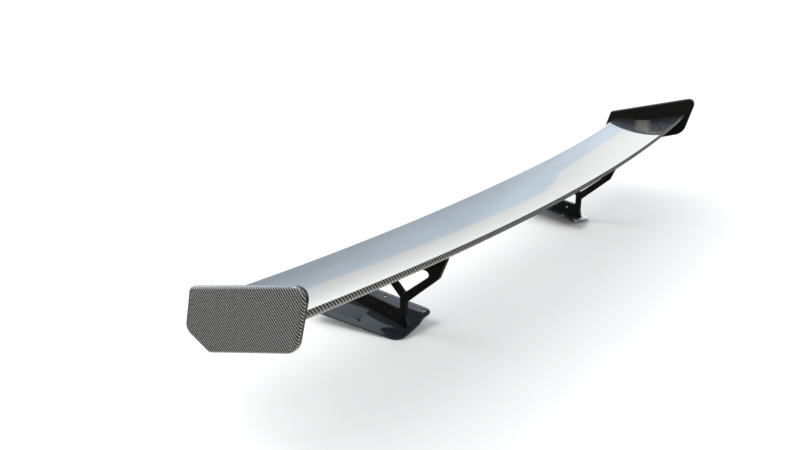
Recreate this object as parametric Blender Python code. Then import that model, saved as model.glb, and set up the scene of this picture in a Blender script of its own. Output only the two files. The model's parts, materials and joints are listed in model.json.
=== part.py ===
import math

import bmesh
import bpy
from mathutils import Matrix, Vector

# Racing rear wing. X runs across the car (+X to its right), +Y points to the car's front, +Z is up.
# All sizes are in metres. The wing is the same left and right, so each side piece is built for
# side = -1 (left) and side = +1 (right).

# Clearances
GAP = 0.0003                # between pieces that touch
HOLE_CLEARANCE = 0.0004     # radial, a screw in its hole
RUNNING_CLEARANCE = 0.0003  # radial, the pivot bolt in its bores

# Blade: value at the middle of the span, and what the square and the fourth power of the distance
# from the middle add to it at the tips.
HALF_SPAN = 0.800
NOSE_Y = (0.0964, 0.0538, 0.0030)
NOSE_Z = (0.2014, -0.0059, 0.0059)
TAIL_Y = (-0.0893, 0.0437, -0.0023)
TAIL_Z = (0.2357, 0.0119, 0.0021)
NOSE_RADIUS = 0.009
TOP_POWER = 1.9             # how late the hollow top surface rises to the tail
BELLY_LENGTH = 0.028        # the nose's lower quarter ellipse
BELLY_DEPTH = 0.0145
TAIL_FACE = 0.0065          # upright part of the blunt tail
TAIL_RADIUS = 0.0085        # the rolled lower part of the tail
TAIL_GROWTH = 0.2           # how much deeper the tail is at the tips
TAIL_SLOPE = math.radians(17)
SKIN_THICKNESS = 0.002
SPAN_STEPS = 20
TOP_STEPS = 10
NOSE_STEPS = 4
BELLY_STEPS = 9
TAIL_STEPS = 3
BRACKET_STEPS = 20

# Inside the blade
FRONT_SPAR_SHARE = 0.18     # of the chord, from the nose
REAR_SPAR_SHARE = 0.70
SPAR_THICKNESS = 0.003
TIP_RIB_THICKNESS = 0.010
HARDPOINT_WIDTH = 0.060

# Endplates: each corner is set from the tip section's nose or tail, with its corner radius.
ENDPLATE_THICKNESS = 0.012
ENDPLATE_EDGE_RADIUS = 0.0045
ENDPLATE_CORNERS = (
    ("nose", 0.0115, 0.0272, 0.009),
    ("tail", -0.0300, 0.0510, 0.015),
    ("tail", -0.0016, -0.0588, 0.038),
    ("nose", -0.0215, -0.0757, 0.010),
    ("nose", 0.0338, -0.0516, 0.016),
)
PIN_RADIUS = 0.003
PIN_DEPTH = 0.007           # in the endplate
PIN_SHARES = {"front": 0.24, "rear": 0.64}

# Uprights
UPRIGHT_X = 0.387           # middle of the plate
UPRIGHT_THICKNESS = 0.010
UPRIGHT_EDGE = 0.0007
STEM_FRONT_Y = 0.0850
STEM_WIDTH = 0.0137
FOOT_REAR_Y = 0.0661
FOOT_FRONT_Y = 0.2360
FOOT_TOP_Z = 0.0546         # where the foot meets the stem
FOOT_TOP_SLOPE = 0.111
FORK_Z = 0.0800             # where the stem splits into the two arms
ARM_WIDTH = 0.0140
RAIL_FRONT_Y = 0.1120
RAIL_BOTTOM_Z = 0.1505
PAD_LEAN = 0.402            # the rear pad's edge leans back this much for each unit of height
PAD_BOTTOM = (-0.0030, 0.1405)
RAIL_CLEARANCE = 0.011      # from the rail's front corner to the blade
PAD_TOP = 0.0405            # the rear pad's upper corner, above the rail's bottom
FRONT_ARM_SLOPE = math.tan(math.radians(43))
REAR_ARM_SLOPE = 0.937      # the rear arm's lower edge
OPENING_SLOPE = 0.862       # the rear arm's upper edge, so the arm widens a little towards its pad
OPENING_VEE = (0.0091, 0.0107)  # the opening's lowest corner, behind the stem's front and above the fork
FOOT_NOSE_LEAN = 0.006      # how far the foot's front end leans back
FOOT_FADE = 0.005           # the height over which the foot's bottom edge takes up the base plate's tilt
FOOT_STEP = 0.015           # the foot's rear end starts this far under its top
FOOT_HOLE = (0.1093, 0.0424, 0.0035)

# Base plates: the plane of the top face, which follows the boot lid
BASE_Z = 0.0178             # at the foot's rear end, on the upright's outboard face
BASE_PITCH = 0.1578         # rise towards the front
BASE_TILT = 0.210           # rise towards the middle of the car
BASE_THICKNESS = 0.004
BASE_EDGE = 0.0010
BASE_CORNERS = (            # outboard of the upright's middle, Y and corner radius
    (-0.0680, 0.0558, 0.012),
    (-0.0360, 0.0592, 0.020),
    (-0.0180, 0.0550, 0.020),
    (0.0400, 0.0566, 0.027),
    (0.0810, 0.2620, 0.015),
    (-0.0403, 0.2620, 0.015),
)
BASE_HOLE_RADIUS = 0.0033
BASE_HOLES = ((0.0455, 0.1531), (-0.0430, 0.1589), (-0.0564, 0.0705), (0.0650, 0.2400), (-0.0280, 0.2430))
FOOT_SCREW_Y = (0.0900, 0.1450, 0.2120)

# Incidence adjustment: the blade's brackets turn on the front bolts, and the rear bolts clamp them
PIVOT = (0.0920, 0.1635)
CLAMP = (0.0040, 0.1740)
ATTACK_UP = math.radians(7)
ATTACK_DOWN = math.radians(3)
BRACKET_THICKNESS = 0.005
FLANGE_THICKNESS = 0.004
FLANGE_GAP = 0.0006         # between the bracket's curved flange and the blade
FLANGE_WIDTH = 0.030
FLANGE_FRONT_Y = 0.1040
FLANGE_REAR_Y = -0.0200
WEB_MARGIN = 0.0085         # metal around the slot and the pivot bore
FLANGE_SCREWS = {"front": 0.058, "rear": 0.012}

# Screws: shank radius, head radius or half the width across flats, head height
M5_RADIUS = 0.0025
M6_RADIUS = 0.0030
M8_RADIUS = 0.0040
CLAMP_FLATS = M6_RADIUS + 0.0020
CLAMP_HEAD = 0.0040
CLAMP_NUT = 0.0060
PIVOT_FLATS = M8_RADIUS + 0.0025
PIVOT_HEAD = 0.0053
PIVOT_NUT = 0.0080
WASHER_THICKNESS = 0.0016
CLAMP_WASHER_RADIUS = CLAMP_FLATS + 0.0012
PIVOT_WASHER_RADIUS = PIVOT_FLATS + 0.0015
BUTTON_RADIUS = 0.0053
BUTTON_HEIGHT = 0.0033
FLANGE_SCREW_LENGTH = 0.0160
INSERT_RADIUS = 0.0050
INSERT_LENGTH = 0.0120
COUNTERSUNK_RADIUS = 0.0046
FOOT_SCREW_LENGTH = 0.0150
SOCKET_DEPTH = 0.0018
THREAD_RUNOUT = 0.0020      # how far a bolt stands out of its nut
TIP_SHARE = 0.82            # a screw's end, of its shank radius
SOCKET_SHARE = 0.62         # half of a small screw's socket across its flats, of its shank radius
BOLT_SOCKET_SHARE = 0.55    # half of a bolt's socket, of half the width across its flats
TOP_SHARE = 0.92            # the rounded top of a hexagon, of half the width across its flats

for leftover in list(bpy.data.objects):
    bpy.data.objects.remove(leftover)


def make_material(name, colour, roughness, metallic):
    material = bpy.data.materials.new(name)
    material.use_nodes = True
    shader = material.node_tree.nodes["Principled BSDF"]
    shader.inputs["Base Color"].default_value = (*colour, 1.0)
    shader.inputs["Roughness"].default_value = roughness
    shader.inputs["Metallic"].default_value = metallic
    return material


carbon = make_material("carbon", (0.030, 0.031, 0.034), 0.08, 0.0)
core = make_material("core", (0.055, 0.055, 0.058), 0.55, 0.0)
anodised = make_material("anodised", (0.020, 0.019, 0.017), 0.38, 0.6)
steel = make_material("steel", (0.045, 0.045, 0.048), 0.35, 0.9)
zinc = make_material("zinc", (0.55, 0.56, 0.58), 0.30, 1.0)

root = bpy.data.objects.new("rear_wing", None)
bpy.context.collection.objects.link(root)
hinge = bpy.data.objects.new("incidence_axis", None)
hinge.location = (0.0, *PIVOT)
hinge.parent = root
bpy.context.collection.objects.link(hinge)


along_x = Matrix.Rotation(math.pi / 2, 3, "Y")


def add_object(name, bm, material, parent, origin=(0.0, 0.0, 0.0), turn=None):
    # bm is in the assembly's frame, or in the piece's own frame when turn is given
    bmesh.ops.recalc_face_normals(bm, faces=bm.faces)
    mesh = bpy.data.meshes.new(name)
    if turn is None:
        bmesh.ops.translate(bm, verts=bm.verts, vec=-Vector(origin))
    bm.to_mesh(mesh)
    bm.free()
    mesh.materials.append(material)
    mesh.shade_smooth()
    mesh.set_sharp_from_angle(angle=math.radians(35))
    piece = bpy.data.objects.new(name, mesh)
    piece.parent = parent
    piece.location = Vector(origin) - (hinge.location if parent is hinge else Vector())
    if turn is not None:
        piece.rotation_euler = turn.to_euler()
    bpy.context.collection.objects.link(piece)
    return piece


def add_cutter(name, bm, parent, origin=(0.0, 0.0, 0.0), turn=None):
    cutter = add_object(name, bm, carbon, parent, origin, turn)
    cutter.hide_render = True
    cutter.display_type = "WIRE"
    return cutter


def cut(piece, cutter):
    boolean = piece.modifiers.new("cut_" + cutter.name, "BOOLEAN")
    boolean.object = cutter
    boolean.operation = "DIFFERENCE"


def bevel_rims(piece, width, segments, angle=50):
    bevel = piece.modifiers.new("rims", "BEVEL")
    bevel.width = width
    bevel.segments = segments
    bevel.limit_method = "ANGLE"
    bevel.angle_limit = math.radians(angle)
    bevel.use_clamp_overlap = False


def loft(loops, ring=False):
    # A closed body through loops that have the same number of points
    bm = bmesh.new()
    rows = [[bm.verts.new(point) for point in loop] for loop in loops]
    pairs = list(zip(rows, rows[1:]))
    if ring:
        pairs.append((rows[-1], rows[0]))
    for near, far in pairs:
        for i in range(len(near)):
            j = (i + 1) % len(near)
            bm.faces.new((near[i], near[j], far[j], far[i]))
    if not ring:
        bm.faces.new(rows[0])
        bm.faces.new(rows[-1])
    return bm


def rounded(corners, steps=5):
    # Replaces each corner (a, b, radius) of an outline with an arc
    points = []
    for i, (a, b, radius) in enumerate(corners):
        corner = Vector((a, b))
        before = (Vector(corners[i - 1][:2]) - corner).normalized()
        after = (Vector(corners[(i + 1) % len(corners)][:2]) - corner).normalized()
        half = before.angle(after) / 2
        centre = corner + (before + after).normalized() * (radius / math.sin(half))
        start = corner + before * (radius / math.tan(half)) - centre
        turn = before.angle_signed(after)
        sweep = (math.pi - abs(turn)) * (1 if turn > 0 else -1)
        for step in range(steps + 1):
            angle = sweep * step / steps
            cosine, sine = math.cos(angle), math.sin(angle)
            points.append((centre.x + start.x * cosine - start.y * sine,
                           centre.y + start.x * sine + start.y * cosine))
    return points


def slab(outline, x_low, x_high):
    # An outline in Y and Z, extruded along X
    return loft([[(x, y, z) for y, z in outline] for x in (x_low, x_high)])


def circle(radius, z, count):
    return [(radius * math.cos(2 * math.pi * i / count), radius * math.sin(2 * math.pi * i / count), z)
            for i in range(count)]


def hexagon(half_flats, z, count):
    # A hexagon with the same number of points as a circle, so that the two can be bridged
    points = []
    for i in range(count):
        angle = 2 * math.pi * i / count
        off_flat = (angle % (math.pi / 3)) - math.pi / 6
        radius = half_flats / math.cos(off_flat)
        points.append((radius * math.cos(angle), radius * math.sin(angle), z))
    return points


def span_value(terms, x):
    share = (x / HALF_SPAN) ** 2
    return terms[0] + terms[1] * share + terms[2] * share * share


def nose_point(x):
    return span_value(NOSE_Y, x), span_value(NOSE_Z, x)


def tail_point(x):
    return span_value(TAIL_Y, x), span_value(TAIL_Z, x)


def tail_scale(x):
    return 1 + TAIL_GROWTH * (x / HALF_SPAN) ** 2


def top_line(x):
    # The upper skin's outside, from the front of the nose over the top to the foot of the tail face
    nose_y, nose_z = nose_point(x)
    tail_y, tail_z = tail_point(x)
    line = []
    for i in range(NOSE_STEPS):
        angle = math.pi / 2 * i / NOSE_STEPS
        line.append((nose_y + NOSE_RADIUS * math.cos(angle), nose_z + NOSE_RADIUS * math.sin(angle)))
    crown = nose_z + NOSE_RADIUS
    for i in range(TOP_STEPS + 1):
        share = i / TOP_STEPS
        line.append((nose_y + share * (tail_y - nose_y), crown + (tail_z - crown) * share ** TOP_POWER))
    line.append((tail_y, tail_z - TAIL_FACE * tail_scale(x)))
    return line


def bottom_line(x):
    # The lower skin's outside, from the front of the nose under the belly to the foot of the tail face
    nose_y, nose_z = nose_point(x)
    tail_y, tail_z = tail_point(x)
    face_z = tail_z - TAIL_FACE * tail_scale(x)
    radius = TAIL_RADIUS * tail_scale(x)
    front = nose_y + NOSE_RADIUS
    line = []
    for i in range(NOSE_STEPS + 1):
        angle = math.pi / 2 * i / NOSE_STEPS
        line.append((front - BELLY_LENGTH * (1 - math.cos(angle)), nose_z - BELLY_DEPTH * math.sin(angle)))
    sweep = math.pi / 2 - TAIL_SLOPE
    roll = [(tail_y + radius * (1 - math.cos(sweep * i / TAIL_STEPS)),
             face_z - radius * math.sin(sweep * i / TAIL_STEPS)) for i in range(TAIL_STEPS, -1, -1)]
    start, end = Vector(line[-1]), Vector(roll[0])
    run = start.x - end.x
    for i in range(1, BELLY_STEPS):
        share = i / BELLY_STEPS
        rise = (end.y - start.y) * share * share * (3 - 2 * share)
        rise += math.tan(TAIL_SLOPE) * run * share * share * (share - 1)
        line.append((start.x - run * share, start.y + rise))
    return line + roll


def inset_line(line, depth, below):
    # Moves a line into the blade: below is True for the top line, whose inside is under it. The two
    # ends, where the skins meet, move level.
    sign = 1 if below else -1
    moved = [(line[0][0] - depth, line[0][1])]
    for before, point, after in zip(line, line[1:], line[2:]):
        sides = Vector(point) - Vector(before), Vector(after) - Vector(point)
        normals = [Vector((-side.y, side.x)).normalized() * sign for side in sides]
        normal = (normals[0] + normals[1]).normalized()
        reach = depth / normal.dot(normals[0])
        moved.append((point[0] + normal.x * reach, point[1] + normal.y * reach))
    moved.append((line[-1][0] + depth, line[-1][1]))
    return moved


def height_at(line, y):
    for (y1, z1), (y2, z2) in zip(line, line[1:]):
        if y2 <= y <= y1 and y1 > y2:
            return z1 + (z2 - z1) * (y1 - y) / (y1 - y2)
    raise ValueError("outside the section")


def belly_height(x, y):
    return height_at(bottom_line(x), y)


def belly_slope(x, y):
    reach = 0.004
    return (belly_height(x, y + reach) - belly_height(x, y - reach)) / (2 * reach)


def chord_y(x, share):
    nose_y = nose_point(x)[0]
    return nose_y + share * (tail_point(x)[0] - nose_y)


blade_end = HALF_SPAN - ENDPLATE_THICKNESS - GAP
inner_depth = SKIN_THICKNESS + GAP
stations = [blade_end * (2 * i / SPAN_STEPS - 1) for i in range(SPAN_STEPS + 1)]


def skin_loop(x, line, below):
    # A skin's section. Its two edges stop short of the other skin's by half the gap.
    inside = inset_line(line, SKIN_THICKNESS, below)
    shift = GAP / 2 if below else -GAP / 2
    for edge in (line, inside):
        edge[0] = (edge[0][0], edge[0][1] + shift)
        edge[-1] = (edge[-1][0], edge[-1][1] + shift)
    return [(x, y, z) for y, z in line + inside[::-1]]


def upper_skin():
    bm = loft([skin_loop(x, top_line(x), True) for x in stations])
    return add_object("blade_upper_skin", bm, carbon, hinge, (0.0, 0.0, span_value(TAIL_Z, 0)))


def lower_skin():
    bm = loft([skin_loop(x, bottom_line(x), False) for x in stations])
    return add_object("blade_lower_skin", bm, carbon, hinge, (0.0, 0.0, span_value(NOSE_Z, 0)))


def inner_lines(x):
    return inset_line(top_line(x), inner_depth, True), inset_line(bottom_line(x), inner_depth, False)


def spar(name, share):
    # A web between the skins that follows the bow of the blade
    limit = blade_end - TIP_RIB_THICKNESS - GAP
    inside = [x for x in stations if abs(x) < limit]
    loops = []
    for x in [-limit] + inside + [limit]:
        top, bottom = inner_lines(x)
        middle = chord_y(x, share)
        front, rear = middle + SPAR_THICKNESS / 2, middle - SPAR_THICKNESS / 2
        loops.append([(x, front, height_at(bottom, front)), (x, front, height_at(top, front)),
                      (x, rear, height_at(top, rear)), (x, rear, height_at(bottom, rear))])
    return add_object(name, loft(loops), core, hinge, (0.0, chord_y(0, share), span_value(NOSE_Z, 0)))


def side_word(side):
    return "left" if side < 0 else "right"


def pin_place(share):
    # On the tip section, halfway between the skins
    top, bottom = inner_lines(blade_end)
    y = chord_y(blade_end, share)
    return y, (height_at(top, y) + height_at(bottom, y)) / 2


def tip_rib(side):
    loops = []
    for x in (blade_end - TIP_RIB_THICKNESS, blade_end):
        top, bottom = inner_lines(x)
        loops.append([(side * x, y, z) for y, z in top[:-1] + bottom[:0:-1]])
    name = "tip_rib_" + side_word(side)
    piece = add_object(name, loft(loops), core, hinge, (side * blade_end, *pin_place(0.5)))
    for place, share in PIN_SHARES.items():
        bore = loft([circle(PIN_RADIUS + HOLE_CLEARANCE, z, 16) for z in (-0.02, 0.02)])
        cutter = add_cutter(f"{name}_{place}_bore", bore, hinge,
                            (side * (blade_end - TIP_RIB_THICKNESS / 2), *pin_place(share)), along_x)
        cut(piece, cutter)
    return piece


def endplate_outline():
    nose_y, nose_z = nose_point(HALF_SPAN)
    anchors = {"nose": (nose_y + NOSE_RADIUS, nose_z), "tail": tail_point(HALF_SPAN)}
    corners = [(anchors[end][0] + y, anchors[end][1] + z, radius)
               for end, y, z, radius in ENDPLATE_CORNERS]
    return rounded(corners)


def endplate(side):
    inner = HALF_SPAN - ENDPLATE_THICKNESS
    bm = slab(endplate_outline(), side * inner, side * HALF_SPAN)
    name = "endplate_" + side_word(side)
    piece = add_object(name, bm, carbon, hinge, (side * HALF_SPAN, *pin_place(0.5)))
    bevel_rims(piece, ENDPLATE_EDGE_RADIUS, 3)
    for place, share in PIN_SHARES.items():
        depth = PIN_DEPTH + GAP
        bore = loft([circle(PIN_RADIUS + HOLE_CLEARANCE, z, 16) for z in (-depth, depth)])
        cut(piece, add_cutter(f"{name}_{place}_bore", bore, hinge, (side * inner, *pin_place(share)), along_x))
    return piece


def dowel(side, place, share):
    # A pin that locates the endplate on the blade's tip rib
    inner = HALF_SPAN - ENDPLATE_THICKNESS
    start, end = inner - GAP - TIP_RIB_THICKNESS, inner + PIN_DEPTH
    half = (end - start) / 2
    chamfer = PIN_RADIUS * 0.2
    loops = [circle(PIN_RADIUS - chamfer, -half, 16), circle(PIN_RADIUS, chamfer - half, 16),
             circle(PIN_RADIUS, half - chamfer, 16), circle(PIN_RADIUS - chamfer, half, 16)]
    name = f"endplate_pin_{place}_{side_word(side)}"
    return add_object(name, loft(loops), zinc, hinge, (side * (start + half), *pin_place(share)), along_x)


def flange_x():
    # The bracket's web stands against the upright's inboard face, and its flange points inboard
    outer = UPRIGHT_X - UPRIGHT_THICKNESS / 2 - GAP
    return outer - BRACKET_THICKNESS - FLANGE_WIDTH, outer - BRACKET_THICKNESS, outer


def hardpoint_centre():
    low, middle, high = flange_x()
    return (low + high) / 2


def screw_turn(y):
    # Turns a screw's axis square to the blade's belly
    slope = belly_slope(hardpoint_centre(), y)
    return Matrix.Rotation(math.atan(slope), 3, "X")


def screw_seat(y, depth):
    # A point on the screw's axis, depth below the belly (negative is inside the blade)
    low, middle, high = flange_x()
    x = (low + middle) / 2
    down = screw_turn(y) @ Vector((0.0, 0.0, -1.0))
    return x, Vector((0.0, y, belly_height(x, y))) + down * depth


def hardpoint(side):
    # The solid block between the skins that carries the bracket's screws
    centre = hardpoint_centre()
    loops = []
    for i in range(4):
        x = centre + HARDPOINT_WIDTH * (i / 3 - 0.5)
        top, bottom = inner_lines(x)
        front = chord_y(x, FRONT_SPAR_SHARE) - SPAR_THICKNESS / 2 - GAP
        rear = chord_y(x, REAR_SPAR_SHARE) + SPAR_THICKNESS / 2 + GAP
        across = [front + (rear - front) * step / 6 for step in range(7)]
        upper = [(side * x, y, height_at(top, y)) for y in across]
        under = [(side * x, y, height_at(bottom, y)) for y in across]
        loops.append(upper + under[::-1])
    name = "hardpoint_" + side_word(side)
    piece = add_object(name, loft(loops), core, hinge, (side * centre, 0.0, belly_height(centre, 0.0)))
    for place, y in FLANGE_SCREWS.items():
        x, seat = screw_seat(y, 0.0)
        depth = INSERT_LENGTH + SKIN_THICKNESS + 3 * GAP
        hole = loft([circle(INSERT_RADIUS + GAP, z, 16) for z in (-0.01, depth)])
        cutter = add_cutter(f"{name}_{place}_hole", hole, hinge, (side * x, seat.y, seat.z), screw_turn(y))
        cut(piece, cutter)
    return piece


def insert(side, place, y):
    x, seat = screw_seat(y, -SKIN_THICKNESS - 2 * GAP)
    bore = M6_RADIUS + HOLE_CLEARANCE
    loops = [circle(INSERT_RADIUS, 0.0, 16), circle(INSERT_RADIUS, INSERT_LENGTH, 16),
             circle(bore, INSERT_LENGTH, 16), circle(bore, 0.0, 16)]
    name = f"insert_{place}_{side_word(side)}"
    return add_object(name, loft(loops, ring=True), zinc, hinge, (side * x, seat.y, seat.z), screw_turn(y))


def skin_holes(skin):
    for side in (-1, 1):
        for place, y in FLANGE_SCREWS.items():
            x, seat = screw_seat(y, 0.0)
            hole = loft([circle(M6_RADIUS + HOLE_CLEARANCE, z, 16) for z in (-0.004, 0.006)])
            name = f"skin_{place}_{side_word(side)}_hole"
            cut(skin, add_cutter(name, hole, hinge, (side * x, seat.y, seat.z), screw_turn(y)))


def web_bottom(y):
    # The lower edge of the bracket's web: level past the slot and the bore, drawn up at both ends
    reach = math.dist(PIVOT, CLAMP)
    low = CLAMP[1] - reach * math.sin(ATTACK_UP) - M6_RADIUS - WEB_MARGIN / 2
    rear_start, front_start = CLAMP[0] - WEB_MARGIN, PIVOT[0] + 0.002
    belly = belly_height(UPRIGHT_X, y) - FLANGE_THICKNESS - 0.004
    if y < rear_start:
        share = min(1.0, (rear_start - y) / 0.010)
    elif y > front_start:
        share = min(1.0, (y - front_start) / 0.012) ** 2
    else:
        share = 0.0
    low += (PIVOT[1] - M8_RADIUS - WEB_MARGIN - low) * max(0.0, min(1.0, (y - CLAMP[0]) / reach))
    return low + (belly - low) * share


def bracket(side):
    low, middle, high = flange_x()
    rows = [FLANGE_REAR_Y + (FLANGE_FRONT_Y - FLANGE_REAR_Y) * i / BRACKET_STEPS
            for i in range(BRACKET_STEPS + 1)]
    loops = []
    for y in rows:
        top_low, top_middle, top_high = (belly_height(x, y) - FLANGE_GAP for x in (low, middle, high))
        loops.append([(side * low, y, top_low), (side * high, y, top_high), (side * high, y, web_bottom(y)),
                      (side * middle, y, web_bottom(y)), (side * middle, y, top_middle - FLANGE_THICKNESS),
                      (side * low, y, top_low - FLANGE_THICKNESS)])
    name = "wing_bracket_" + side_word(side)
    piece = add_object(name, loft(loops), anodised, hinge, (side * high, *PIVOT))
    bore = loft([circle(M8_RADIUS + RUNNING_CLEARANCE, z, 24) for z in (-0.02, 0.02)])
    cut(piece, add_cutter(name + "_bore", bore, hinge, (side * high, *PIVOT), along_x))
    slot = slab(slot_outline(), side * (low + 0.005), side * (high + 0.005))
    cut(piece, add_cutter(name + "_slot", slot, hinge))
    for place, y in FLANGE_SCREWS.items():
        x, seat = screw_seat(y, 0.0)
        hole = loft([circle(M6_RADIUS + HOLE_CLEARANCE, z, 16) for z in (-0.012, 0.004)])
        cut(piece, add_cutter(f"{name}_{place}_hole", hole, hinge, (side * x, seat.y, seat.z), screw_turn(y)))
    return piece


def slot_outline():
    # An arc about the pivot, as wide as the clamp bolt. The slot turns with the blade.
    reach = math.dist(PIVOT, CLAMP)
    start = math.atan2(CLAMP[1] - PIVOT[1], CLAMP[0] - PIVOT[0])
    half = M6_RADIUS + HOLE_CLEARANCE
    slack = HOLE_CLEARANCE / reach
    low, high = start - ATTACK_DOWN - slack, start + ATTACK_UP + slack

    def polar(radius, angle):
        return PIVOT[0] + radius * math.cos(angle), PIVOT[1] + radius * math.sin(angle)

    outline = [polar(reach + half, low + (high - low) * i / 6) for i in range(7)]
    end_y, end_z = polar(reach, high)
    outline += [(end_y + half * math.cos(high + math.pi * i / 6), end_z + half * math.sin(high + math.pi * i / 6))
                for i in range(1, 6)]
    outline += [polar(reach - half, high - (high - low) * i / 6) for i in range(7)]
    end_y, end_z = polar(reach, low)
    outline += [(end_y - half * math.cos(low + math.pi * i / 6), end_z - half * math.sin(low + math.pi * i / 6))
                for i in range(1, 6)]
    return outline


def button_screw(side, place, y):
    x, seat = screw_seat(y, FLANGE_GAP + FLANGE_THICKNESS + GAP)
    socket = M6_RADIUS * SOCKET_SHARE
    loops = [circle(M6_RADIUS * TIP_SHARE, FLANGE_SCREW_LENGTH, 12),
             circle(M6_RADIUS, FLANGE_SCREW_LENGTH - 0.001, 12), circle(M6_RADIUS, 0.0, 12),
             circle(BUTTON_RADIUS, 0.0, 12), circle(BUTTON_RADIUS * 0.93, -BUTTON_HEIGHT * 0.45, 12),
             circle(BUTTON_RADIUS * 0.62, -BUTTON_HEIGHT, 12), hexagon(socket, -BUTTON_HEIGHT, 12),
             hexagon(socket, SOCKET_DEPTH - BUTTON_HEIGHT, 12)]
    name = f"bracket_screw_{place}_{side_word(side)}"
    return add_object(name, loft(loops), steel, hinge, (side * x, seat.y, seat.z), screw_turn(y))


def base_height(x, y):
    return BASE_Z + BASE_PITCH * (y - FOOT_REAR_Y) + BASE_TILT * (UPRIGHT_X + UPRIGHT_THICKNESS / 2 - x)


def base_normal(side):
    return Vector((side * BASE_TILT, -BASE_PITCH, 1.0)).normalized()


def base_plate(side):
    corners = [(UPRIGHT_X + out, y, radius) for out, y, radius in BASE_CORNERS]
    top = [Vector((side * x, y, base_height(x, y))) for x, y in rounded(corners)]
    normal = base_normal(side)
    bm = loft([top, [point - normal * BASE_THICKNESS for point in top]])
    name = "base_plate_" + side_word(side)
    piece = add_object(name, bm, carbon, root, (side * UPRIGHT_X, FOOT_REAR_Y, BASE_Z))
    bevel_rims(piece, BASE_EDGE, 1)
    turn = Vector((0, 0, 1)).rotation_difference(normal).to_matrix()
    for i, (out, y) in enumerate(BASE_HOLES):
        x = UPRIGHT_X + out
        hole = loft([circle(BASE_HOLE_RADIUS, z, 16) for z in (-0.02, 0.02)])
        cut(piece, add_cutter(f"{name}_hole_{i}", hole, root, (side * x, y, base_height(x, y)), turn))
    for i, y in enumerate(FOOT_SCREW_Y):
        sink = foot_screw_loops(HOLE_CLEARANCE, 0.02, 0.02)
        cut(piece, add_cutter(f"{name}_sink_{i}", loft(sink), root, foot_screw_seat(side, y), foot_turn()))
    return piece


def foot_turn():
    # The foot's screws stand square to its bottom edge, in the plane of the upright
    return Matrix.Rotation(math.atan(BASE_PITCH), 3, "X")


def foot_screw_seat(side, y):
    # The middle of the screw's head face, deep enough for the tilted plate to hide the whole head
    recess = COUNTERSUNK_RADIUS * BASE_TILT + GAP
    height = base_height(UPRIGHT_X, y) - BASE_THICKNESS / base_normal(side).z + recess
    return side * UPRIGHT_X, y, height


def foot_screw_loops(clearance, above, below):
    radius, head = M5_RADIUS + clearance, COUNTERSUNK_RADIUS + clearance
    loops = [circle(radius, above, 12), circle(radius, head - radius, 12), circle(head, 0.0, 12)]
    if below:
        loops.append(circle(head, -below, 12))
    return loops


def foot_screw(side, number, y):
    socket = M5_RADIUS * SOCKET_SHARE
    loops = [circle(M5_RADIUS * TIP_SHARE, FOOT_SCREW_LENGTH, 12)]
    loops += foot_screw_loops(0.0, FOOT_SCREW_LENGTH - 0.001, 0.0)
    loops += [hexagon(socket, 0.0, 12), hexagon(socket, SOCKET_DEPTH, 12)]
    name = f"foot_screw_{number}_{side_word(side)}"
    return add_object(name, loft(loops), steel, root, foot_screw_seat(side, y), foot_turn())


def upright_outline():
    # The plate's outline in Y and Z, with the radius of each corner
    stem_rear = STEM_FRONT_Y - STEM_WIDTH
    rail_front_z = belly_height(UPRIGHT_X, RAIL_FRONT_Y) - RAIL_CLEARANCE
    pad_top_z = RAIL_BOTTOM_Z + PAD_TOP
    pad_top_y = PAD_BOTTOM[0] - PAD_LEAN * (pad_top_z - PAD_BOTTOM[1])
    foot_nose_z = FOOT_TOP_Z + FOOT_TOP_SLOPE * (FOOT_FRONT_Y - STEM_FRONT_Y)
    return (
        ("foot", FOOT_REAR_Y, 0.0, 0.0016),
        ("foot", FOOT_FRONT_Y, 0.0, 0.0030),
        ("plate", FOOT_FRONT_Y - FOOT_NOSE_LEAN, foot_nose_z, 0.0100),
        ("plate", STEM_FRONT_Y, FOOT_TOP_Z, 0.0050),
        ("plate", STEM_FRONT_Y, FORK_Z, 0.0050),
        ("plate", RAIL_FRONT_Y, FORK_Z + FRONT_ARM_SLOPE * (RAIL_FRONT_Y - STEM_FRONT_Y), 0.0120),
        ("plate", RAIL_FRONT_Y, rail_front_z, 0.0080),
        ("plate", pad_top_y, pad_top_z, 0.0060),
        ("plate", PAD_BOTTOM[0], PAD_BOTTOM[1], 0.0080),
        ("plate", stem_rear, PAD_BOTTOM[1] - REAR_ARM_SLOPE * (stem_rear - PAD_BOTTOM[0]), 0.0070),
        ("plate", stem_rear, FOOT_TOP_Z - FOOT_STEP, 0.0050),
    )


def opening_outline():
    # The rounded opening between the two arms and the rail
    vee_y = STEM_FRONT_Y - OPENING_VEE[0]
    vee_z = FORK_Z + OPENING_VEE[1]
    front_y = RAIL_FRONT_Y - ARM_WIDTH
    rear_y = vee_y - (RAIL_BOTTOM_Z - vee_z) / OPENING_SLOPE
    return rounded([(vee_y, vee_z, 0.0030), (front_y, vee_z + FRONT_ARM_SLOPE * (front_y - vee_y), 0.0060),
                    (front_y, RAIL_BOTTOM_Z, 0.0060), (rear_y, RAIL_BOTTOM_Z, 0.0070)], 4)


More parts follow.
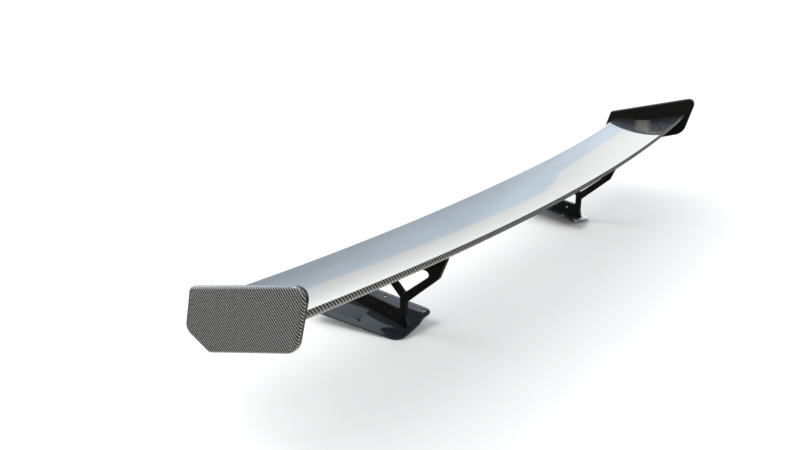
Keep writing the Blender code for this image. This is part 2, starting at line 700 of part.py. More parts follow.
def upright(side):
    corners = []
    for kind, y, z, radius in upright_outline():
        corners.append((y, base_height(UPRIGHT_X, y) if kind == "foot" else z, radius))
    outline = rounded(corners, 4)
    inner, outer = UPRIGHT_X - UPRIGHT_THICKNESS / 2, UPRIGHT_X + UPRIGHT_THICKNESS / 2
    loops = []
    for x in (inner, outer):
        # The foot's bottom edge lies on the tilted base plate, so it is lower outboard than inboard
        drop = BASE_TILT * (UPRIGHT_X - x)
        lift = GAP / base_normal(side).z
        loops.append([(side * x, y, z + (drop + lift) * foot_share(y, z)) for y, z in outline])
    name = "upright_" + side_word(side)
    piece = add_object(name, loft(loops), anodised, root, (side * UPRIGHT_X, *PIVOT))
    window = slab(opening_outline(), side * (inner - 0.01), side * (outer + 0.01))
    cut(piece, add_cutter(name + "_window", window, root))
    bevel_rims(piece, UPRIGHT_EDGE, 1)
    holes = {"pivot": (*PIVOT, M8_RADIUS + RUNNING_CLEARANCE), "clamp": (*CLAMP, M6_RADIUS + HOLE_CLEARANCE),
             "foot": FOOT_HOLE}
    for place, (y, z, radius) in holes.items():
        hole = loft([circle(radius, depth, 24) for depth in (-0.02, 0.02)])
        cut(piece, add_cutter(f"{name}_{place}_hole", hole, root, (side * UPRIGHT_X, y, z), along_x))
    for i, y in enumerate(FOOT_SCREW_Y):
        drill = loft([circle(M5_RADIUS + HOLE_CLEARANCE, z, 12) for z in (-0.01, FOOT_SCREW_LENGTH + GAP)])
        cut(piece, add_cutter(f"{name}_tap_{i}", drill, root, foot_screw_seat(side, y), foot_turn()))
    return piece


def foot_share(y, z):
    # 1 on the foot's bottom edge, fading to 0 a little above it
    above = z - base_height(UPRIGHT_X, y)
    return max(0.0, min(1.0, 1 - above / FOOT_FADE))


def bolt_loops(radius, flats, head, length, count):
    # From the thread's end (high) down to the head, whose bearing face is at 0
    socket = flats * BOLT_SOCKET_SHARE
    return [circle(radius * TIP_SHARE, length, count), circle(radius, length - radius * 0.3, count),
            circle(radius, 0.0, count), hexagon(flats, 0.0, count), hexagon(flats, -head * 0.85, count),
            circle(flats * TOP_SHARE, -head, count), circle(socket, -head, count),
            circle(socket, -head * 0.6, count)]


def washer(name, radius, bore, parent, place):
    half = WASHER_THICKNESS / 2
    loops = [circle(radius, -half, 16), circle(radius, half, 16), circle(bore, half, 16), circle(bore, -half, 16)]
    return add_object(name, loft(loops, ring=True), steel, parent, place, along_x)


def nut(name, flats, height, bore, parent, place, turn):
    # The plain hexagon takes nearly three quarters of the height, and the rest is a locking nut's collar
    loops = [circle(flats * TOP_SHARE, 0.0, 12), hexagon(flats, height * 0.08, 12), hexagon(flats, height * 0.72, 12),
             circle(flats * TOP_SHARE, height * 0.78, 12), circle(flats * 0.78, height, 12),
             circle(bore, height, 12), circle(bore, 0.0, 12)]
    return add_object(name, loft(loops, ring=True), steel, parent, place, turn)


def through_bolt(label, side, place, radius, flats, head, nut_height, washer_radius, count):
    # The bolt's head is outboard of the upright, and its nut is inboard of the bracket
    outer = UPRIGHT_X + UPRIGHT_THICKNESS / 2
    low, inner, high = flange_x()
    word = side_word(side)
    towards_inside = Matrix.Rotation(-side * math.pi / 2, 3, "Y")
    stack = WASHER_THICKNESS + GAP
    under_head = outer + GAP + stack
    nut_face = inner - GAP - stack
    length = under_head - nut_face + nut_height + THREAD_RUNOUT
    bolt = loft(bolt_loops(radius, flats, head, length, count))
    add_object(f"{label}_bolt_{word}", bolt, steel, root, (side * under_head, *place), towards_inside)
    bore = radius + HOLE_CLEARANCE
    for spot, x in (("outer", outer + GAP + WASHER_THICKNESS / 2), ("inner", inner - GAP - WASHER_THICKNESS / 2)):
        washer(f"{label}_washer_{spot}_{word}", washer_radius, bore, root, (side * x, *place))
    nut(f"{label}_nut_{word}", flats, nut_height, bore, root, (side * nut_face, *place), towards_inside)


def build():
    upper_skin()
    skin_holes(lower_skin())
    spar("front_spar", FRONT_SPAR_SHARE)
    spar("rear_spar", REAR_SPAR_SHARE)
    for side in (-1, 1):
        tip_rib(side)
        hardpoint(side)
        endplate(side)
        for place, share in PIN_SHARES.items():
            dowel(side, place, share)
        bracket(side)
        for place, y in FLANGE_SCREWS.items():
            insert(side, place, y)
            button_screw(side, place, y)
        upright(side)
        base_plate(side)
        for number, y in enumerate(FOOT_SCREW_Y, 1):
            foot_screw(side, number, y)
        through_bolt("pivot", side, PIVOT, M8_RADIUS, PIVOT_FLATS, PIVOT_HEAD, PIVOT_NUT, PIVOT_WASHER_RADIUS, 24)
        through_bolt("clamp", side, CLAMP, M6_RADIUS, CLAMP_FLATS, CLAMP_HEAD, CLAMP_NUT, CLAMP_WASHER_RADIUS, 12)


def settle_origin():
    # Moves the assembly so that its origin is under the middle of its box
    bpy.context.view_layer.update()
    corners = [piece.matrix_world @ Vector(corner) for piece in bpy.data.objects
               if piece.type == "MESH" and not piece.hide_render for corner in piece.bound_box]
    low = [min(corner[axis] for corner in corners) for axis in range(3)]
    high = [max(corner[axis] for corner in corners) for axis in range(3)]
    root.location = (-(low[0] + high[0]) / 2, -(low[1] + high[1]) / 2, -low[2])


build()
settle_origin()
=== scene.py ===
import json
import math

import bmesh
import bpy
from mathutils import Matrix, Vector


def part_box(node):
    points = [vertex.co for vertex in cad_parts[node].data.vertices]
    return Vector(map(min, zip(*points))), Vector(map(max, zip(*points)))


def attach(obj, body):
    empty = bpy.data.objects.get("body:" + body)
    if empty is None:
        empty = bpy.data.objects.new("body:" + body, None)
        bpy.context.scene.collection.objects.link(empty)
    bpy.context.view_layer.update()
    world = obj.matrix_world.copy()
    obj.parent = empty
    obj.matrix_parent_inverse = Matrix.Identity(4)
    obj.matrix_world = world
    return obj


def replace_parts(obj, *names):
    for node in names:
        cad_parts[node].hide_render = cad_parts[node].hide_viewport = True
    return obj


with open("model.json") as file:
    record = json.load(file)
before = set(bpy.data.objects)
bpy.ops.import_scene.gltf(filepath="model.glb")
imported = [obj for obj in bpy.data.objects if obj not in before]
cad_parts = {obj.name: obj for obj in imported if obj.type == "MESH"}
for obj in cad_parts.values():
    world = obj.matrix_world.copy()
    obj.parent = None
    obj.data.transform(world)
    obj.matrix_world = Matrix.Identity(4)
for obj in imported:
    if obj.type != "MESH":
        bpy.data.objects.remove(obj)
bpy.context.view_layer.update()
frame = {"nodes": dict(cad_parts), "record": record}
print("frame loaded:", len(frame["nodes"]), "CAD nodes")


class Wire:
    # One socket of a shader tree, with arithmetic that adds Math nodes
    def __init__(self, tree, socket):
        self.tree, self.socket = tree, socket

    def math(self, operation, other=None, flipped=False):
        first, second = (other, self) if flipped else (self, other)
        inputs = {0: first}
        if other is not None:
            inputs[1] = second
        return self.tree.add("ShaderNodeMath", {"operation": operation}, inputs)

    def __add__(self, other): return self.math("ADD", other)
    def __radd__(self, other): return self.math("ADD", other)
    def __sub__(self, other): return self.math("SUBTRACT", other)
    def __rsub__(self, other): return self.math("SUBTRACT", other, True)
    def __mul__(self, other): return self.math("MULTIPLY", other)
    def __rmul__(self, other): return self.math("MULTIPLY", other)
    def __pow__(self, other): return self.math("POWER", other)
    def __lt__(self, other): return self.math("LESS_THAN", other)
    def floor(self): return self.math("FLOOR")
    def wrapped(self, length): return self.math("FLOORED_MODULO", length)
    def sine(self): return self.math("SINE")
    def least(self, other): return self.math("MINIMUM", other)
    def most(self, other): return self.math("MAXIMUM", other)
    def outlet(self, key): return Wire(self.tree, self.socket.node.outputs[key])


class ShaderTree:
    def __init__(self, nodeTree):
        self.nodes, self.links = nodeTree.nodes, nodeTree.links
        self.nodes.clear()

    def add(self, kind, settings=None, inputs=None, output=0):
        node = self.nodes.new(kind)
        for name, value in (settings or {}).items():
            setattr(node, name, value)
        for key, value in (inputs or {}).items():
            socket = node.inputs[key]
            if isinstance(value, Wire):
                self.links.new(value.socket, socket)
            else:
                socket.default_value = value
        return Wire(self, node.outputs[output])

    def mixColour(self, factor, first, second):
        return self.add("ShaderNodeMix", {"data_type": "RGBA"},
                        {0: factor, 6: opaque(first), 7: opaque(second)}, 2)

    def remap(self, value, low, high, outLow=0.0, outHigh=1.0):
        return self.add("ShaderNodeMapRange", {"clamp": True},
                        {0: value, 1: low, 2: high, 3: outLow, 4: outHigh})


def opaque(colour):
    return colour if isinstance(colour, Wire) or len(colour) == 4 else (*colour, 1.0)


def newMaterial(name):
    material = bpy.data.materials.new(name)
    material.use_nodes = True
    return material, ShaderTree(material.node_tree)


def outputSurface(tree, shader):
    output = tree.nodes.new("ShaderNodeOutputMaterial")
    tree.links.new(shader.socket, output.inputs["Surface"])


def give(material, *names):
    for name in names:
        piece = bpy.data.objects[name]
        piece.data.materials.clear()
        piece.data.materials.append(material)


# Carbon cloth: a 2x2 twill under a clear coat. Each set gives the colours of its warp and weft tows; their
# difference is a painted highlight for the light that the two directions of fibre catch, and each set is a
# lit or shaded copy of the one carbon, painted for the light its surface gets.
carbonLook = {
    "towWidth": 0.00164,
    "twillRepeat": 4.0,
    "fibres": 11.0,             # streaks across one tow
    "fibreSpread": 0.5,         # how far the streaks vary the shade
    "toneSpread": 0.16,         # how far whole tows differ
    "archShare": 0.6,           # how much of a tow's height is its arch over the next
    "hollowShade": 0.3,         # shade where one tow dives under the next
    "warpRoughness": 0.40,
    "weftRoughness": 0.52,
    "specular": 0.08,
    "coatIor": 1.5,
    "bumpStrength": 0.5,
    "resin": (0.004, 0.0042, 0.0046),
    "coatRoughness": 0.012,
    "bumpHeight": 0.00008,
    # Painted light, per surface: the endplates' outer faces get the strongest rib highlight, the blade's
    # tail and belly nearly as strong, the blade's top and the base plates a dim one, and faces turned inward
    # a painted shade copy
    "bright": ((0.21, 0.207, 0.20), (0.0005, 0.0005, 0.0005)),
    "tail": ((0.185, 0.180, 0.170), (0.001, 0.001, 0.001)),
    "quiet": ((0.020, 0.021, 0.024), (0.007, 0.0073, 0.0082)),
    "base": ((0.020, 0.022, 0.029), (0.001, 0.0011, 0.0014)),
    "inner": ((0.009, 0.0088, 0.0078), (0.0015, 0.0015, 0.0014)),
}


def clothPattern(tree, turn, lean):
    # Tows run along the turned U and V of the piece's own map; lean is +1 or -1 for the way the ribs climb
    tow, fine = carbonLook["towWidth"], carbonLook["fibres"]
    uv = tree.add("ShaderNodeUVMap", {"uv_map": "cloth"})
    placed = tree.add("ShaderNodeMapping", {"vector_type": "POINT"}, {
        "Vector": uv, "Rotation": (0.0, 0.0, math.radians(turn)), "Scale": (1 / tow, lean / tow, 1.0)})
    across = tree.add("ShaderNodeSeparateXYZ", None, {0: placed})
    along = across.outlet(1)
    column, row = across.floor(), along.floor()
    inColumn, inRow = across - column, along - row
    phase = (column + row).wrapped(carbonLook["twillRepeat"])
    warpOnTop = phase < 1.5     # two steps of the repeat's four
    warpPlace = (phase + inRow) * 0.5
    weftPlace = (phase + inColumn) * 0.5 - 1.0
    place = warpPlace * warpOnTop + weftPlace * (1 - warpOnTop)
    side = inColumn * warpOnTop + inRow * (1 - warpOnTop)
    crown = 1 - (side * 2 - 1) ** 4
    arch = (place * math.pi).sine().most(0.0) ** 0.5
    share = carbonLook["archShare"]
    height = crown * (arch * share + (1 - share))
    # The added 40 and 500 only keep the weft's noise apart from the warp's
    warpVector = tree.add("ShaderNodeCombineXYZ", None, {0: across * fine, 1: along * 0.5, 2: column})
    weftVector = tree.add("ShaderNodeCombineXYZ", None, {0: across * 0.5, 1: along * fine, 2: row + 40})
    warpGrain = tree.add("ShaderNodeTexNoise", {"noise_dimensions": "3D"},
                         {"Vector": warpVector, "Scale": 1.0, "Detail": 1.0})
    weftGrain = tree.add("ShaderNodeTexNoise", {"noise_dimensions": "3D"},
                         {"Vector": weftVector, "Scale": 1.0, "Detail": 1.0})
    warpTone = tree.add("ShaderNodeTexWhiteNoise", {"noise_dimensions": "1D"}, {"W": column})
    weftTone = tree.add("ShaderNodeTexWhiteNoise", {"noise_dimensions": "1D"}, {"W": row + 500})
    return {"uv": uv, "warp": warpOnTop, "height": height, "warpGrain": warpGrain, "weftGrain": weftGrain,
            "warpTone": warpTone, "weftTone": weftTone}


def carbonMaterial(name, turn, lean, litCopy, tailLitCopy=None, coat=1.0):
    # The second set, when given, is a painted lit copy with brighter ribs for the blade's tail and belly,
    # where the map's second value is below zero
    material, tree = newMaterial(name)
    cloth = clothPattern(tree, turn, lean)
    look = carbonLook
    warp, weft = look[litCopy]
    if tailLitCopy:
        split = tree.add("ShaderNodeSeparateXYZ", None, {0: cloth["uv"]}, 1)
        tail = tree.remap(split, 0.001, -0.0005)
        warp = tree.mixColour(tail, warp, look[tailLitCopy][0])
        weft = tree.mixColour(tail, weft, look[tailLitCopy][1])
    fibre, tone = look["fibreSpread"], look["toneSpread"]
    warpShade, weftShade = (
        (cloth[tow + "Grain"] * fibre + (1 - fibre / 2)) * (cloth[tow + "Tone"] * tone + (1 - tone / 2))
        for tow in ("warp", "weft"))
    shade = warpShade * cloth["warp"] + weftShade * (1 - cloth["warp"])
    shade = shade * tree.remap(cloth["height"], 0.0, 0.5, look["hollowShade"], 1.0)
    tow = tree.mixColour(cloth["warp"], weft, warp)
    shader = tree.add("ShaderNodeBsdfPrincipled", None, {
        "Base Color": tree.mixColour(shade.least(1.0), look["resin"], tow),
        "Roughness": tree.remap(cloth["warp"], 0.0, 1.0, look["weftRoughness"], look["warpRoughness"]),
        "Normal": tree.add("ShaderNodeBump", None, {
            "Strength": look["bumpStrength"], "Distance": look["bumpHeight"], "Height": cloth["height"]}),
        "Specular IOR Level": look["specular"], "Coat Weight": coat,
        "Coat Roughness": look["coatRoughness"], "Coat IOR": look["coatIor"]})
    outputSurface(tree, shader)
    return material


def finishPiece(name, bm, body, replaced, material, smooth=30):
    mesh = bpy.data.meshes.new(name)
    bm.to_mesh(mesh)
    bm.free()
    mesh.shade_smooth()
    mesh.set_sharp_from_angle(angle=math.radians(smooth))
    mesh.materials.append(material)
    piece = bpy.data.objects.new(name, mesh)
    bpy.context.scene.collection.objects.link(piece)
    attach(piece, body)
    if replaced:
        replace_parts(piece, *replaced)
    return piece


blade = {
    "halfSpan": 0.800,
    "bladeEnd": 0.7877,
    "noseY": (0.0964, 0.0538, 0.0030),
    "noseZ": (0.2014, -0.0059, 0.0059),
    "tailY": (-0.0893, 0.0437, -0.0023),
    "tailZ": (0.2357, 0.0119, 0.0021),
    "noseRadius": 0.009,
    "topPower": 1.9,
    "bellyLength": 0.028,
    "bellyDepth": 0.0145,
    "tailFace": 0.0065,
    "tailRadius": 0.0085,
    "tailGrowth": 0.2,
    "tailSlope": math.radians(17),
    "thickness": 0.002,
    "seam": 0.00012,            # half the gap between the two skins
    "rimWidth": 0.0005,
    "rimAngle": math.radians(55),
    "spanSteps": 120,
    "noseSteps": 10,
    "topSteps": 44,
    "bellySteps": 36,
    "tailSteps": 9,
}


def along(terms, x):
    share = (x / blade["halfSpan"]) ** 2
    return terms[0] + terms[1] * share + terms[2] * share * share


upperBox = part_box("blade_upper_skin")
shift = Vector((0.0, upperBox[0].y - along(blade["tailY"], 0.0),
                upperBox[1].z - along(blade["tailZ"], blade["bladeEnd"])))


def topSection(x):
    # From the front of the nose over the top to the foot of the tail face
    noseY, noseZ = along(blade["noseY"], x), along(blade["noseZ"], x)
    tailY, tailZ = along(blade["tailY"], x), along(blade["tailZ"], x)
    radius, steps = blade["noseRadius"], blade["noseSteps"]
    angles = [math.pi / 2 * i / steps for i in range(steps)]
    line = [(noseY + radius * math.cos(angle), noseZ + radius * math.sin(angle)) for angle in angles]
    crown = noseZ + radius
    for i in range(blade["topSteps"] + 1):
        share = i / blade["topSteps"]
        line.append((noseY + share * (tailY - noseY), crown + (tailZ - crown) * share ** blade["topPower"]))
    scale = 1 + blade["tailGrowth"] * (x / blade["halfSpan"]) ** 2
    foot = tailZ - blade["tailFace"] * scale
    line += [(tailY, tailZ + (foot - tailZ) * i / 3) for i in (1, 2, 3)]
    line[0] = (line[0][0], line[0][1] + blade["seam"])
    line[-1] = (line[-1][0], line[-1][1] + blade["seam"])
    return line


def bottomSection(x):
    # From the foot of the tail face round the roll, under the belly and up to the front of the nose
    noseY, noseZ = along(blade["noseY"], x), along(blade["noseZ"], x)
    tailY, tailZ = along(blade["tailY"], x), along(blade["tailZ"], x)
    scale = 1 + blade["tailGrowth"] * (x / blade["halfSpan"]) ** 2
    face, radius = tailZ - blade["tailFace"] * scale, blade["tailRadius"] * scale
    steps, slope = blade["tailSteps"], blade["tailSlope"]
    sweep = math.pi / 2 - slope
    line = [(tailY + radius * (1 - math.cos(sweep * i / steps)), face - radius * math.sin(sweep * i / steps))
            for i in range(steps + 1)]
    end = line[-1]
    front = noseY + blade["noseRadius"]
    start = (front - blade["bellyLength"], noseZ - blade["bellyDepth"])
    run = start[0] - end[0]
    for i in range(blade["bellySteps"] - 1, 0, -1):
        share = i / blade["bellySteps"]
        rise = (end[1] - start[1]) * share * share * (3 - 2 * share)
        rise += math.tan(slope) * run * share * share * (share - 1)
        line.append((start[0] - run * share, start[1] + rise))
    steps = blade["noseSteps"]
    for i in range(steps, -1, -1):
        angle = math.pi / 2 * i / steps
        line.append((front - blade["bellyLength"] * (1 - math.cos(angle)),
                     noseZ - blade["bellyDepth"] * math.sin(angle)))
    line[0] = (line[0][0], line[0][1] - blade["seam"])
    line[-1] = (line[-1][0], line[-1][1] - blade["seam"])
    return line


def skin(name, section, fromTail, material):
    # A grid drawn onto the section at each place along the span, then given its thickness
    rows = len(section(0.0))
    steps = blade["spanSteps"]
    bm = bmesh.new()
    bmesh.ops.create_grid(bm, x_segments=steps, y_segments=rows - 1, size=1.0)
    cloth = bm.loops.layers.uv.new("cloth")
    lines, lengths = [], []
    for i in range(steps + 1):
        line = section(blade["bladeEnd"] * (2 * i / steps - 1))
        length = [0.0]
        for before, after in zip(line, line[1:]):
            length.append(length[-1] + math.dist(before, after))
        lines.append(line)
        if section is topSection:
            lengths.append([length[fromTail] - value for value in length])
        else:
            lengths.append([-value - blade["tailFace"] for value in length])
    spots = {}
    for vert in bm.verts:
        i = round((vert.co.x + 1) / 2 * steps)
        j = round((vert.co.y + 1) / 2 * (rows - 1))
        x = blade["bladeEnd"] * (2 * i / steps - 1)
        vert.co = Vector((x, *lines[i][j])) + shift
        spots[vert.index] = (x, lengths[i][j])
    for face in bm.faces:
        for loop in face.loops:
            loop[cloth].uv = spots[loop.vert.index]
    bmesh.ops.recalc_face_normals(bm, faces=bm.faces)
    middle = max(bm.faces, key=lambda face: face.calc_area())
    wanted = 1 if section is topSection else -1
    if middle.normal.z * wanted < 0:
        bmesh.ops.reverse_faces(bm, faces=bm.faces)
    piece = finishPiece(name, bm, "wing", [], material)
    wall = piece.modifiers.new("wall", "SOLIDIFY")
    wall.thickness, wall.offset, wall.use_even_offset = blade["thickness"], -1.0, True
    rim = piece.modifiers.new("rim", "BEVEL")
    rim.width, rim.segments = blade["rimWidth"], 2
    rim.limit_method, rim.angle_limit = "ANGLE", blade["rimAngle"]
    return piece


# Painted light: the blade's top takes dim rib colours and its tail and belly the brighter lit copy
bladeCarbon = carbonMaterial("bladeCarbon", 5.4, 1, "quiet", "tail")
tailIndex = blade["noseSteps"] + blade["topSteps"]
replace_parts(skin("bladeUpperSkin", topSection, tailIndex, bladeCarbon), "blade_upper_skin")
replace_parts(skin("bladeLowerSkin", bottomSection, 0, bladeCarbon), "blade_lower_skin")
print("blade skins made")


endplate = {
    "outer": 0.800,
    "thickness": 0.012,
    "edgeRadius": 0.0045,
    "corners": ((0.1737, 0.2286, 0.012), (-0.0779, 0.3007, 0.015), (-0.0495, 0.1909, 0.038),
                (0.1407, 0.1257, 0.010), (0.1960, 0.1498, 0.016)),
    "cornerSteps": 10,
    "edgeSteps": 7,
    "brightShare": 0.45,        # of the thickness, from the outer face, that keeps the lit copy; the deeper rim gets the painted shade copy
}


def roundedFace(bm, corners, place, steps):
    # A face through the corners, each one rounded off by its own radius
    verts = [bm.verts.new(place(a, b)) for a, b, radius in corners]
    bm.faces.new(verts)
    for vert, (a, b, radius) in zip(verts, corners):
        sides = [edge.other_vert(vert).co - vert.co for edge in vert.link_edges]
        half = sides[0].angle(sides[1]) / 2
        # The bevel's curve is round only at a square corner, so its reach makes up for the corner's angle
        reach = radius * (1 / math.sin(half) - 1) / ((2 - math.sqrt(2)) * math.cos(half))
        bmesh.ops.bevel(bm, geom=[vert], offset=reach, offset_type="OFFSET", affect="VERTICES",
                        segments=steps, profile=0.5, material=-1)
    return bm.faces[:]


def buildEndplate(side, material):
    bm = bmesh.new()
    outer, thick, radius = endplate["outer"], endplate["thickness"], endplate["edgeRadius"]
    faces = roundedFace(bm, endplate["corners"], lambda y, z: Vector((side * outer, y, z)) + shift,
                        endplate["cornerSteps"])
    made = bmesh.ops.extrude_face_region(bm, geom=faces)
    bmesh.ops.translate(bm, verts=[v for v in made["geom"] if isinstance(v, bmesh.types.BMVert)],
                        vec=(-side * thick, 0.0, 0.0))
    bmesh.ops.recalc_face_normals(bm, faces=bm.faces)
    rims = [edge for edge in bm.edges if abs(edge.verts[0].co.x - edge.verts[1].co.x) < 1e-6]
    bmesh.ops.bevel(bm, geom=rims, offset=radius, offset_type="OFFSET", affect="EDGES",
                    segments=endplate["edgeSteps"], profile=0.5, material=-1)
    bmesh.ops.recalc_face_normals(bm, faces=bm.faces)
    bm.normal_update()
    cloth = bm.loops.layers.uv.new("cloth")
    turnLength = radius * math.pi / 2
    total = 2 * turnLength + thick - 2 * radius
    for face in bm.faces:
        inside = face.normal.x * side < -0.999
        # Painted shade: the face turned inward and the deeper part of the rim take the darker copy of the
        # carbon
        deep = outer - abs(face.calc_center_median().x) > thick * endplate["brightShare"]
        face.material_index = 1 if inside or deep else 0
        for loop in face.loops:
            spot = loop.vert
            depth = min(max(outer - abs(spot.co.x), 0.0), thick)
            lean = Vector((spot.normal.y, spot.normal.z))
            lean = lean.normalized() if lean.length > 1e-6 else Vector((0.0, 0.0))
            near = min(depth, thick - depth)
            angle = math.acos(max(-1.0, 1 - near / radius)) if near < radius else math.pi / 2
            run = radius * angle if depth < thick / 2 else total - radius * angle
            if near >= radius:
                run = turnLength + depth - radius
            if inside:
                run, angle = 0.0, 0.0
            loop[cloth].uv = Vector((spot.co.y, spot.co.z)) + lean * (run - radius * math.sin(angle))
    name = "endplateLeft" if side < 0 else "endplateRight"
    node = "endplate_left" if side < 0 else "endplate_right"
    piece = finishPiece(name, bm, "wing", [node], material, 40)
    piece.data.materials.append(innerCarbon)
    return piece


# Lit and shaded copies of one carbon: the outer faces carry a painted rib highlight, the faces turned inward
# a painted shade copy
endplateCarbon = carbonMaterial("endplateCarbon", 3.8, -1, "bright")
innerCarbon = carbonMaterial("innerCarbon", 3.8, -1, "inner", coat=0.45)
for side in (-1, 1):
    buildEndplate(side, endplateCarbon)
print("endplates made")


def clothCopy(name, node, body, first, second, material):
    source = frame["nodes"][node]
    bm = bmesh.new()
    bm.from_mesh(source.data)
    bmesh.ops.remove_doubles(bm, verts=bm.verts, dist=1e-6)
    cloth = bm.loops.layers.uv.new("cloth")
    for face in bm.faces:
        for loop in face.loops:
            loop[cloth].uv = (loop.vert.co.dot(first), loop.vert.co.dot(second))
    return finishPiece(name, bm, body, [node], material, 30)


basePlate = {"pitch": 0.1578, "tilt": 0.210}
# The base plates' rib colours are their own painted lit copy of the carbon
baseCarbon = carbonMaterial("baseCarbon", 0.0, -1, "base", coat=0.75)
for side, word in ((-1, "Left"), (1, "Right")):
    outboard = Vector((side, 0.0, -basePlate["tilt"])).normalized()
    normal = Vector((side * basePlate["tilt"], -basePlate["pitch"], 1.0)).normalized()
    forward = normal.cross(outboard) * side
    clothCopy("basePlate" + word, "base_plate_" + word.lower(), "mount",
              outboard, forward, baseCarbon)
print("base plates made")


metalLook = {
    "blackAnodised": {"colour": (0.0042, 0.0040, 0.0034), "metallic": 0.0, "roughness": 0.46, "spread": 0.2,
                      "grain": 3200.0, "depth": 0.00002, "specular": 0.22},
    "blackOxide": {"colour": (0.030, 0.031, 0.033), "metallic": 0.8, "roughness": 0.34, "spread": 0.25,
                   "grain": 2200.0, "depth": 0.00002, "specular": 0.5},
    "zincPlate": {"colour": (0.55, 0.56, 0.58), "metallic": 1.0, "roughness": 0.30, "spread": 0.08,
                  "grain": 1800.0, "depth": 0.00002, "specular": 0.5},
    "coreLaminate": {"colour": (0.050, 0.050, 0.053), "metallic": 0.0, "roughness": 0.62, "spread": 0.3,
                     "grain": 900.0, "depth": 0.00006, "specular": 0.5},
}
cloudScale = 35.0
roughSpread = 0.12
grainStrength = 0.35
noiseRange = (0.35, 0.65)       # where a noise has most of its values


def metalMaterial(name):
    # A blasted, plated or laminated surface: mottled tone and roughness, with a fine grain
    look = metalLook[name]
    spread, rough = look["spread"], look["roughness"]
    material, tree = newMaterial(name)
    place = tree.add("ShaderNodeTexCoord", None, None, 3)
    cloud = tree.add("ShaderNodeTexNoise", None, {"Vector": place, "Scale": cloudScale, "Detail": 3.0})
    speck = tree.add("ShaderNodeTexNoise", None, {"Vector": place, "Scale": look["grain"], "Detail": 2.0})
    light = tuple(min(1.0, value * (1 + spread)) for value in look["colour"])
    dark = tuple(value * (1 - spread) for value in look["colour"])
    shader = tree.add("ShaderNodeBsdfPrincipled", None, {
        "Base Color": tree.mixColour(tree.remap(cloud, *noiseRange), dark, light),
        "Metallic": look["metallic"],
        "Roughness": tree.remap(speck * 0.5 + cloud * 0.5, *noiseRange,
                                rough * (1 - roughSpread), min(1.0, rough * (1 + roughSpread))),
        "Normal": tree.add("ShaderNodeBump", None, {
            "Strength": grainStrength, "Distance": look["depth"], "Height": speck}),
        "Specular IOR Level": look["specular"]})
    outputSurface(tree, shader)
    return material


slotFinish = {"anodised": metalMaterial("blackAnodised"), "steel": metalMaterial("blackOxide"),
              "zinc": metalMaterial("zincPlate"), "core": metalMaterial("coreLaminate")}
brokenEdge = {"anodised": 0.00025, "steel": 0.00018}    # every visible metal edge is slightly rounded
brokenAngle = math.radians(28)
bodies = frame["record"]["behaviour"]["bodies"]


def roundedCopy(node, slot):
    bm = bmesh.new()
    bm.from_mesh(frame["nodes"][node].data)
    bmesh.ops.remove_doubles(bm, verts=bm.verts, dist=1e-6)
    words = node.split("_")
    name = words[0] + "".join(word.capitalize() for word in words[1:])
    body = next(body for body, members in bodies.items() if node in members)
    piece = finishPiece(name, bm, body, [node], slotFinish[slot], 40)
    edge = piece.modifiers.new("brokenEdge", "BEVEL")
    edge.width, edge.segments = brokenEdge[slot], 2
    edge.limit_method, edge.angle_limit = "ANGLE", brokenAngle


for part in frame["record"]["subparts"]:
    slot = part["material_slot"]
    if slot in brokenEdge:
        roundedCopy(part["node"], slot)
    elif slot in slotFinish:
        give(slotFinish[slot], part["node"])
print("finishes given")


# Angles are in degrees: azimuth from +X towards +Y, elevation up from the horizon
stage = {
    "floorSize": 60.0,
    "floorTone": 0.62,
    "sky": (1.55, 1.80, 2.03),
    "cloudDark": 0.90,
    "cloudLight": 1.08,
    "wall": (2.05, 2.07, 2.03),
    "wallTop": 7.9,
    "wallStep": 2.4,            # added to one side of the step in the wall
    "stepEnd": (28.0, 30.0),
    "stepRise": (19.0, 27.0),
    "stepLow": 0.35,            # share of the step before it has risen
    "cloudScale": 9.0,
    "ground": (0.05, 0.049, 0.046),
    "sheet": (1.25, 1.22, 1.15),
    "sheetTop": (-42.0, -34.0),
    "groundTop": (-12.0, -9.0),
    "darkSides": ((116.0, 128.0), (-70.0, -90.0)),
    "darkTop": (34.0, 28.0),
    "strip": (14.0, 12.8, 10.4),
    "stripAcross": (149.0, 165.0),
    "stripUp": (9.5, 13.0),
    "soft": (1.80, 1.80, 1.80),
    "under": (0.3, 0.3, 0.3),
}

bm = bmesh.new()
bmesh.ops.create_grid(bm, x_segments=1, y_segments=1, size=stage["floorSize"] / 2)
floorMesh = bpy.data.meshes.new("studioFloor")
bm.to_mesh(floorMesh)
bm.free()
floorMaterial, tree = newMaterial("paleFloor")
tone = stage["floorTone"]
outputSurface(tree, tree.add("ShaderNodeBsdfPrincipled", None, {
    "Base Color": (tone, tone, tone, 1.0), "Roughness": 0.9, "Specular IOR Level": 0.0}))
floorMesh.materials.append(floorMaterial)
floor = bpy.data.objects.new("studioFloor", floorMesh)
floor.visible_glossy = False
bpy.context.scene.collection.objects.link(floor)

world = bpy.data.worlds.new("studioSky")
world.use_nodes = True
bpy.context.scene.world = world
tree = ShaderTree(world.node_tree)
direction = tree.add("ShaderNodeTexCoord", None, None, 0)
split = tree.add("ShaderNodeSeparateXYZ", None, {0: direction})
dx, dy, dz = (split.outlet(i) for i in range(3))
elevation = dz.math("ARCSINE") * (180 / math.pi)
azimuth = dy.math("ARCTAN2", dx) * (180 / math.pi)
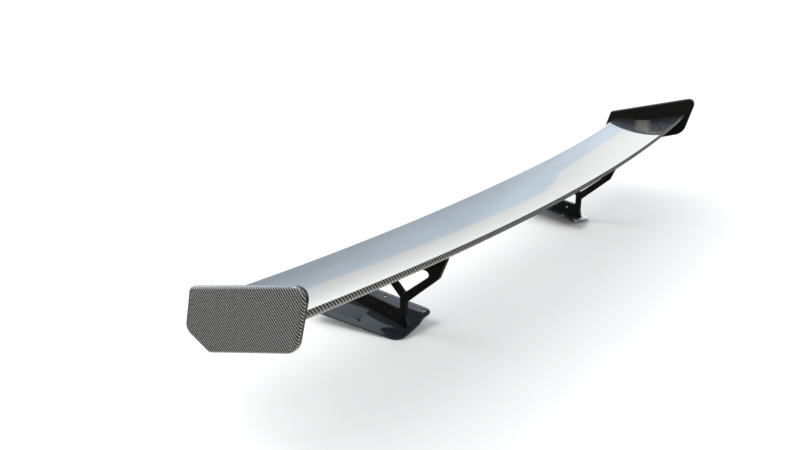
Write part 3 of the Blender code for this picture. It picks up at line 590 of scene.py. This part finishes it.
# The pale wall stands a little taller to one side of 29 degrees
step = (tree.remap(azimuth, *stage["stepEnd"], 1.0, 0.0)
        * tree.remap(azimuth, *stage["stepRise"], stage["stepLow"], 1.0))
border = stage["wallTop"] + step * stage["wallStep"]
cloud = tree.add("ShaderNodeTexNoise", None, {
    "Vector": direction, "Scale": stage["cloudScale"], "Detail": 6.0, "Roughness": 0.62})
sky = tree.mixColour(tree.remap(cloud, *noiseRange), tuple(v * stage["cloudDark"] for v in stage["sky"]),
                     tuple(v * stage["cloudLight"] for v in stage["sky"]))
upper = tree.mixColour(tree.remap(elevation - border, -0.25, 0.25), stage["wall"], sky)
lower = tree.mixColour(tree.remap(elevation, *stage["sheetTop"]), stage["sheet"], stage["ground"])
lit = tree.mixColour(tree.remap(elevation, *stage["groundTop"]), lower, upper)
# Behind the camera it is dark up to 30 degrees, but for one warm strip
oneSide, otherSide = stage["darkSides"]
behind = tree.remap(azimuth, *oneSide).most(tree.remap(azimuth, *otherSide))
(start, end), (low, high) = stage["stripAcross"], stage["stripUp"]
inStrip = (tree.remap(azimuth, start, start + 2) * tree.remap(azimuth, end, end - 2)
           * tree.remap(elevation, low, low + 1) * tree.remap(elevation, high, high - 1))
dark = tree.mixColour(inStrip, stage["ground"], stage["strip"])
whole = tree.mixColour(behind * tree.remap(elevation, *stage["darkTop"]), lit, dark)
seen = tree.add("ShaderNodeLightPath", None, None, 0)
soft = seen.outlet("Is Diffuse Ray")
even = tree.mixColour(tree.remap(elevation, -10.0, 10.0), stage["under"], stage["soft"])
shown = tree.mixColour(seen, tree.mixColour(soft, whole, even), (1.0, 1.0, 1.0))
background = tree.add("ShaderNodeBackground", None, {"Color": shown, "Strength": 1.0})
output = tree.nodes.new("ShaderNodeOutputWorld")
tree.links.new(background.socket, output.inputs["Surface"])


def towards(azimuth, elevation):
    a, e = math.radians(azimuth), math.radians(elevation)
    return Vector((math.cos(a) * math.cos(e), math.sin(a) * math.cos(e), math.sin(e)))


lamp = {
    "aim": (0.0, 0.0, 0.15),
    "azimuth": 115.0,
    "elevation": 41.5,
    "distance": 3.2,
    "size": 1.4,
    "power": 34.0,
}
light = bpy.data.lights.new("keySoftbox", "AREA")
light.shape, light.size, light.energy = "DISK", lamp["size"], lamp["power"]
lightObject = bpy.data.objects.new("keySoftbox", light)
aim = Vector(lamp["aim"])
lightObject.location = aim + lamp["distance"] * towards(lamp["azimuth"], lamp["elevation"])
lightObject.rotation_euler = (aim - lightObject.location).to_track_quat("-Z", "Y").to_euler()
bpy.context.scene.collection.objects.link(lightObject)

view = {
    "place": (-1.424, -0.794, 0.7094),
    "yaw": 37.49,
    "down": 20.61,
    "lens": 33.9,
    "sensor": 36.0,
    "reach": 200.0,
}
camera = bpy.data.cameras.new("camera")
camera.lens, camera.sensor_width, camera.clip_end = view["lens"], view["sensor"], view["reach"]
cameraObject = bpy.data.objects.new("camera", camera)
cameraObject.location = view["place"]
cameraObject.rotation_euler = towards(view["yaw"], -view["down"]).to_track_quat("-Z", "Y").to_euler()
bpy.context.scene.collection.objects.link(cameraObject)
bpy.context.scene.camera = cameraObject
bpy.context.scene.view_settings.view_transform = "Standard"
print("stage set")

bpy.context.view_layer.update()
